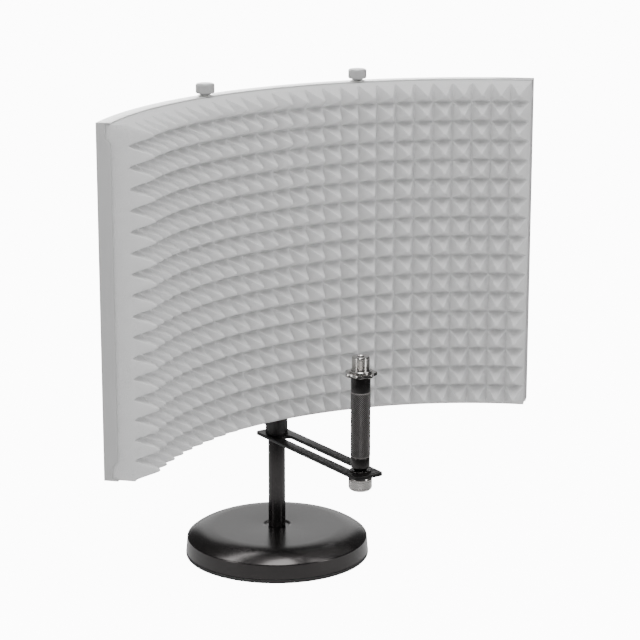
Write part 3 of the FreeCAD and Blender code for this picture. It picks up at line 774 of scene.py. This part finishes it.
def thumb_nut():
    """The chrome knurled nut under the arm: plain chamfered rim on top, rounded lower edge."""
    low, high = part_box("thumb_nut")
    r, columns = (high.x - low.x) / 2, NUT_KNURL_AROUND * KNURL_STEPS
    round_r, rim, pit_depth = 3.2 * MM, 2.4 * MM, 2 * MM
    pitch = TURN * r / NUT_KNURL_AROUND
    upper, round_top = high.z - rim, low.z + round_r
    span = upper - low.z - round_r
    count = round(span / pitch * KNURL_STEPS)
    skin = arc_points((r - round_r, round_top), round_r, -62, 0, 14)
    skin += [(r, round_top + span * i / count) for i in range(1, count + 1)]
    travelled = [0.0]
    for a, b in zip(skin, skin[1:]):
        travelled.append(travelled[-1] + math.dist(a, b))
    vertices, heights = [], []
    for (radius, z), path in zip(skin, travelled):
        out = Vector((radius - (r - round_r), min(0.0, z - low.z - round_r))).normalized()
        fade = min(1.0, path / pitch, (travelled[-1] - path) / pitch * 2)
        for j in range(columns):
            height = knurl_height(j / KNURL_STEPS, path / pitch, 0.85)
            depth = KNURL_DEPTH * 1.15 * fade * (1 - height)
            a = TURN * j / columns
            x = radius - out.x * depth
            heights.append(-depth)
            vertices.append((POST.x + x * math.cos(a), POST.y + x * math.sin(a), z - out.y * depth))
    faces = split_on_grooves(grid_faces(len(skin), columns, closed_columns=True), heights)
    plain = [
        (r - 0.35 * MM, upper + 0.25 * MM), (r - 0.8 * MM, upper + 0.7 * MM),
        (r - 0.8 * MM, high.z - 0.7 * MM), (r - 1.5 * MM, high.z), (ROD_HOLE, high.z),
        (ROD_HOLE, low.z + pit_depth),
    ]
    for radius, z in plain:
        vertices += circle(POST, radius, z, columns)
    start = (len(skin) - 1) * columns
    for quad in grid_faces(len(plain) + 1, columns, closed_columns=True):
        faces.append(tuple(start + corner for corner in quad))
    pit = len(vertices)
    vertices += [(POST.x, POST.y, low.z + pit_depth), (POST.x, POST.y, low.z)]
    last = pit - columns
    ring = len(vertices)
    vertices += circle(POST, skin[0][0] - 0.6 * MM, low.z, columns)
    for j in range(columns):
        k = (j + 1) % columns
        faces.append((last + j, last + k, pit))
        faces.append((j, ring + j, ring + k, k))
        faces.append((ring + j, pit + 1, ring + k))
    made = piece("knurled_thumb_nut", vertices, faces, "chrome", math.radians(50))
    return place(made, "chrome", "thumb_nut", "thumb_nut")


# The shield -------------------------------------------------------------------------------------
def soft_min(a, b, k):
    """The lesser of two numbers, with the corner between them rounded by the share k."""
    return (a + b - math.sqrt((a - b) ** 2 + (k * (a + b) / 2) ** 2)) / 2


def flank(offset):
    """Height of a pyramid's flanks at an offset across its cell, rounded at the tip and the valley."""
    rise = math.hypot(0.5, TIP_ROUND) - math.hypot(offset, TIP_ROUND)
    return math.hypot(rise, VALLEY_ROUND) - VALLEY_ROUND


def pyramid_height(u, v):
    """Height share of the foam at cell coordinates; 0 in the valleys and 1 at the tip."""
    across, up = flank(u % 1 - 0.5), flank(v % 1 - 0.5)
    return max(0.0, soft_min(across, up, RIDGE_ROUND)) / flank(0.0)


def foam():
    """The foam block: a curved slab whose inner face is cut into rows of pyramids."""
    back = ARC_RADIUS - SHEET
    half = math.asin(FOAM_HIGH.x / back)
    slab = FOAM_DEPTH - PYRAMID
    columns, rows = FOAM_COLUMNS * FOAM_STEPS, FOAM_ROWS * FOAM_STEPS
    z0, height = FOAM_LOW.z, FOAM_HIGH.z - FOAM_LOW.z
    vertices = []
    for j in range(rows + 1):
        for i in range(columns + 1):
            u, v = i / FOAM_STEPS, j / FOAM_STEPS
            on_edge = i in (0, columns) or j in (0, rows)
            rise = 0.0 if on_edge else pyramid_height(u, v)
            angle = -half + 2 * half * i / columns
            z = z0 + height * j / rows
            cell = Vector((math.floor(u) * 1.7, math.floor(v) * 2.3, 0.5))
            uneven = FOAM_UNEVEN * noise.noise(cell) * rise
            grain = FOAM_GRAIN * noise.noise(Vector((u * 9, v * 9, 3.0))) * (not on_edge)
            top = slab + (PYRAMID - TIP_DROP) * rise + uneven + grain
            vertices.append(on_arc(back - min(top, FOAM_DEPTH), angle, z))
    faces = []
    # Each pyramid's edges run along the diagonals of its cell, so the quads are split that way.
    for a, b, c, d in grid_faces(rows + 1, columns + 1):
        i, j = a % (columns + 1), a // (columns + 1)
        x, y = (i + 0.5) / FOAM_STEPS % 1 - 0.5, (j + 0.5) / FOAM_STEPS % 1 - 0.5
        if x * y > 0:
            faces += [(a, b, c), (a, c, d)]
        else:
            faces += [(a, b, d), (b, c, d)]
    low = len(vertices)
    for z in (z0, z0 + height):
        vertices += [on_arc(back, -half + 2 * half * i / columns, z) for i in range(columns + 1)]
    high, last = low + columns + 1, rows * (columns + 1)
    for i in range(columns):
        faces.append((i, low + i, low + i + 1, i + 1))
        faces.append((last + i, last + i + 1, high + i + 1, high + i))
        faces.append((low + i, high + i, high + i + 1, low + i + 1))
    left = [j * (columns + 1) for j in range(rows + 1)]
    faces.append((*left, high, low))
    right = [j * (columns + 1) + columns for j in range(rows + 1)]
    faces.append((*reversed(right), low + columns, high + columns))
    made = piece("pyramid_foam", vertices, faces, "foam_grey", math.radians(60))
    return place(made, "foam_grey", "shield", "acoustic_foam")


def tray():
    """The curved sheet-steel tray: a back with a rounded fold and a flange on all four sides."""
    z0, z1 = PANEL_LOW.z, PANEL_HIGH.z
    columns = 112
    angles = [-HALF_ANGLE + 2 * HALF_ANGLE * i / columns for i in range(columns + 1)]
    cut, chamfer = FLANGE_CUT_HEIGHT, FLANGE_CUT_HEIGHT + FLANGE_CHAMFER
    heights = [z0, z0 + cut, z0 + chamfer, *(z0 + (z1 - z0) * i / 8 for i in range(1, 8))]
    heights += [z1 - chamfer, z1 - cut, z1]
    levels = len(heights)
    vertices = [on_arc(ARC_RADIUS, a, z) for z in heights for a in angles]
    faces = grid_faces(levels, columns + 1)

    def strip(edge, points):
        """Faces between a row of existing vertices and a new row of points."""
        start = len(vertices)
        vertices.extend(points)
        for k in range(len(edge) - 1):
            faces.append((edge[k], edge[k + 1], start + k + 1, start + k))
        return list(range(start, start + len(points)))

    def side(i, angle):
        """The flange along an upright edge, cut back near both ends."""
        edge = [j * (columns + 1) + i for j in range(levels)]
        near = strip(edge, [on_arc(ARC_RADIUS - FLANGE_CUT, angle, z) for z in heights])
        strip(near[2:-2], [on_arc(ARC_RADIUS - FLANGE, angle, z) for z in heights[2:-2]])
        outer = len(vertices)
        faces.append((near[1], near[2], outer - (levels - 4)))
        faces.append((near[-3], near[-2], outer - 1))
        return near

    left = side(0, -HALF_ANGLE)
    right = side(columns, HALF_ANGLE)
    for level, end in ((0, 0), (levels - 1, -1)):
        edge = [level * (columns + 1) + i for i in range(columns + 1)]
        z = heights[level]
        middle = [on_arc(ARC_RADIUS - FLANGE_CUT, a, z) for a in angles[1:-1]]
        start = len(vertices)
        vertices.extend(middle)
        row = [left[end], *range(start, start + len(middle)), right[end]]
        for k in range(columns):
            faces.append((edge[k], edge[k + 1], row[k + 1], row[k]))
        strip(row, [on_arc(ARC_RADIUS - FLANGE, a, z) for a in angles])
    made = piece("steel_tray", vertices, faces, "shield_grey", math.radians(180))
    bm = bmesh.new()
    bm.from_mesh(made.data)
    rear = on_arc(ARC_RADIUS, 0, (z0 + z1) / 2)
    probe = min(bm.faces, key=lambda face: (face.calc_center_median() - rear).length)
    if probe.normal.y < 0:
        bmesh.ops.reverse_faces(bm, faces=bm.faces)
    bm.to_mesh(made.data)
    bm.free()
    solid = made.modifiers.new("thickness", "SOLIDIFY")
    solid.thickness = SHEET
    solid.offset = -1
    solid.use_even_offset = True
    soft = made.modifiers.new("folds", "BEVEL")
    soft.width = BEND
    soft.segments = 3
    soft.limit_method = "ANGLE"
    soft.angle_limit = math.radians(40)
    return place(made, "shield_grey", "shield", "back_panel")


def knob(side):
    """A plain round knob: crowned top, generous rim radii and a neck over its washer."""
    node = side + "_knob"
    low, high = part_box(node)
    centre = Vector(((low.x + high.x) / 2, (low.y + high.y) / 2, 0))
    r, neck_r = (high.x - low.x) / 2, 4.8 * MM
    head = low.z + 1.4 * MM
    profile = [(0, low.z), (neck_r, low.z), (neck_r, head - 0.3 * MM), (neck_r + 0.3 * MM, head)]
    lower, upper, crown = 1.3 * MM, 1.7 * MM, 0.25 * MM
    profile += arc_points((r - lower, head + lower), lower, -90, 0, 7)
    profile += arc_points((r - upper, high.z - crown - upper), upper, 0, 84, 8)
    profile += [(r * 0.5, high.z - 0.06 * MM), (0, high.z)]
    made = lathe_solid(node + "_cap", profile, "knob_grey", centre)
    place(made, "knob_grey", node, node)
    washer = side + "_knob_washer"
    flat_washer(side + "_knob_disc", washer, side + "_washer", KNOB_WASHER_HOLE, centre, "zinc_steel")


# Finishes of the CAD nodes that stay ------------------------------------------------------------
def paint_frame():
    """Give every CAD node the finish of its slot."""
    slots = {s["node"]: s["material_slot"] for s in frame["record"]["subparts"]}
    for name, node in frame["nodes"].items():
        node.data.materials.clear()
        node.data.materials.append(FINISHES[slots[name]])


# Studio -----------------------------------------------------------------------------------------
def studio_floor():
    """A pale table that is nearly white to the eye, and that ends soon in what gloss mirrors."""
    segments = 96
    vertices = [(0, 0, 0), *circle(COLUMN, FLOOR_RADIUS, 0, segments)]
    faces = [(0, 1 + k, 1 + (k + 1) % segments) for k in range(segments)]
    mesh = bpy.data.meshes.new("floor")
    mesh.from_pydata(vertices, [], faces)
    material = bpy.data.materials.new("pale_floor")
    material.use_nodes = True
    w = Wiring(material.node_tree)
    w.tree.nodes.clear()
    reach = w.node("ShaderNodeVectorMath", operation="LENGTH")
    w.feed(w.node("ShaderNodeTexCoord").outputs["Object"], reach.inputs[0])
    table = w.ramp(reach.outputs["Value"], *TABLE_EDGE, 1, 0)
    rays = w.node("ShaderNodeLightPath").outputs
    pale, dark = w.node("ShaderNodeBsdfDiffuse"), w.node("ShaderNodeBsdfDiffuse")
    pale.inputs["Color"].default_value = (*TABLE_PALE, 1)
    dark.inputs["Color"].default_value = (*TABLE_DARK, 1)
    surface = w.node("ShaderNodeMixShader")
    w.feed(w.choose(rays["Is Glossy Ray"], 1, table), surface.inputs["Fac"])
    w.feed(dark.outputs["BSDF"], surface.inputs[1])
    w.feed(pale.outputs["BSDF"], surface.inputs[2])
    glow = w.node("ShaderNodeEmission")
    mirrored = w.times(rays["Is Glossy Ray"], table)
    seen = w.times(rays["Is Camera Ray"], WHITE - FLOOR_LIT)
    w.feed(w.times(mirrored, TABLE_GLOW, plus=seen), glow.inputs["Strength"])
    both = w.node("ShaderNodeAddShader")
    w.feed(surface.outputs["Shader"], both.inputs[0])
    w.feed(glow.outputs["Emission"], both.inputs[1])
    w.feed(both.outputs["Shader"], w.node("ShaderNodeOutputMaterial").inputs["Surface"])
    mesh.materials.append(material)
    floor = bpy.data.objects.new("floor", mesh)
    floor.location.z = cad_box[0].z - FLOOR_SINK
    bpy.context.scene.collection.objects.link(floor)


def studio_world():
    """White to the eye and soft for matt surfaces; gloss mirrors the dark and a bright backdrop."""
    world = bpy.data.worlds.new("studio")
    bpy.context.scene.world = world
    world.use_nodes = True
    w = Wiring(world.node_tree)
    w.tree.nodes.clear()
    direction = w.node("ShaderNodeTexCoord").outputs["Generated"]
    split = w.node("ShaderNodeSeparateXYZ")
    w.feed(direction, split.inputs["Vector"])
    rise = split.outputs["Z"]
    a = math.radians(CAMERA_AZIMUTH)

    def along(x, y):
        """How far the direction points along a horizontal one."""
        dot = w.node("ShaderNodeVectorMath", operation="DOT_PRODUCT")
        dot.inputs[1].default_value = (x, y, 0)
        w.feed(direction, dot.inputs[0])
        return dot.outputs["Value"]

    aside = w.node("ShaderNodeMath", operation="ABSOLUTE")
    w.feed(along(math.cos(a), math.sin(a)), aside.inputs[0])
    behind = w.ramp(along(-math.sin(a), math.cos(a)), *BACKDROP_BEHIND, 0.0, 1.0)
    backdrop = w.times(behind, w.ramp(aside.outputs["Value"], *BACKDROP_SIDE, 1.0, 0.0))
    sheet = w.times(backdrop, w.ramp(rise, *BACKDROP_TOP, 1.0, 0.0))
    mirrored = w.ramp(sheet, 0.0, 1.0, AMBIENT, BACKDROP)
    soft = w.ramp(rise, *SOFT_RISE, *SOFT_AMBIENT)
    rays = w.node("ShaderNodeLightPath").outputs
    lighting = w.node("ShaderNodeBackground")
    w.feed(w.choose(rays["Is Diffuse Ray"], mirrored, soft), lighting.inputs["Strength"])
    seen = w.node("ShaderNodeBackground")
    seen.inputs["Color"].default_value = (1, 1, 1, 1)
    seen.inputs["Strength"].default_value = WHITE
    mix = w.node("ShaderNodeMixShader")
    w.feed(rays["Is Camera Ray"], mix.inputs["Fac"])
    w.feed(lighting.outputs["Background"], mix.inputs[1])
    w.feed(seen.outputs["Background"], mix.inputs[2])
    w.feed(mix.outputs["Shader"], w.node("ShaderNodeOutputWorld").inputs["Surface"])


def outwards(azimuth, elevation):
    """The direction from the object to a place in the studio; azimuth 0 is the user's side, 90 is +X."""
    a, e = math.radians(azimuth), math.radians(elevation)
    return Vector((math.sin(a) * math.cos(e), -math.cos(a) * math.cos(e), math.sin(e)))


def softbox(name, azimuth, elevation, distance, width, height, radiance, matt=False):
    """An area light that only matt surfaces see, or only gloss."""
    out = outwards(azimuth, elevation)
    light = bpy.data.lights.new(name, "AREA")
    light.shape = "RECTANGLE"
    light.size, light.size_y = width, height
    light.energy = radiance * math.pi * width * height
    made = bpy.data.objects.new(name, light)
    made.location = SUBJECT + out * distance
    made.rotation_euler = out.to_track_quat("Z", "Y").to_euler()
    made.visible_camera = False
    made.visible_diffuse = matt
    made.visible_glossy = not matt
    bpy.context.scene.collection.objects.link(made)
    return made


def lights():
    """A key light for matt surfaces, softboxes for gloss, and a strip that whitens the top flange."""
    softbox("overhead", CAMERA_AZIMUTH, 84, 1.9, 0.9, 2.4, 12.0)
    softbox("left_high", CAMERA_AZIMUTH - 92, 54, 2.0, 0.6, 1.0, 4.0)
    softbox("right_high", CAMERA_AZIMUTH + 86, 58, 2.0, 0.6, 1.0, 4.0)
    softbox("left_low", CAMERA_AZIMUTH - 58, 14, 2.0, 0.35, 1.2, 10.0)
    softbox("right_low", CAMERA_AZIMUTH + 62, 14, 2.0, 0.35, 1.2, 10.0)
    strip = softbox("rim", 180, 8, 1.0, 0.75, 0.09, 10.0)
    strip.location = (0, PANEL_HIGH.y + 0.16, PANEL_HIGH.z + 0.045)
    softbox("key", -20, 60, 2.2, 2.2, 0.9, 4.4, matt=True)


def camera():
    """The camera at the photograph's viewing angle."""
    out = outwards(CAMERA_AZIMUTH, CAMERA_ELEVATION)
    data = bpy.data.cameras.new("camera")
    data.lens = CAMERA_LENS
    data.sensor_width = 36
    data.clip_start, data.clip_end = 0.05, 60
    made = bpy.data.objects.new("camera", data)
    made.location = SUBJECT + out * CAMERA_DISTANCE
    made.rotation_euler = out.to_track_quat("Z", "Y").to_euler()
    bpy.context.scene.collection.objects.link(made)
    bpy.context.scene.camera = made


paint_frame()
base()
boot()
tube()
flat_washer("arm_bearing_washer", "arm_washer", "stand", STUD_WASHER_HOLE, COLUMN)
arm()
grip()
collars()
mic_adapter()
lock_ring()
thumb_nut()
foam()
tray()
for side in ("left", "right"):
    knob(side)

studio_floor()
studio_world()
lights()
camera()
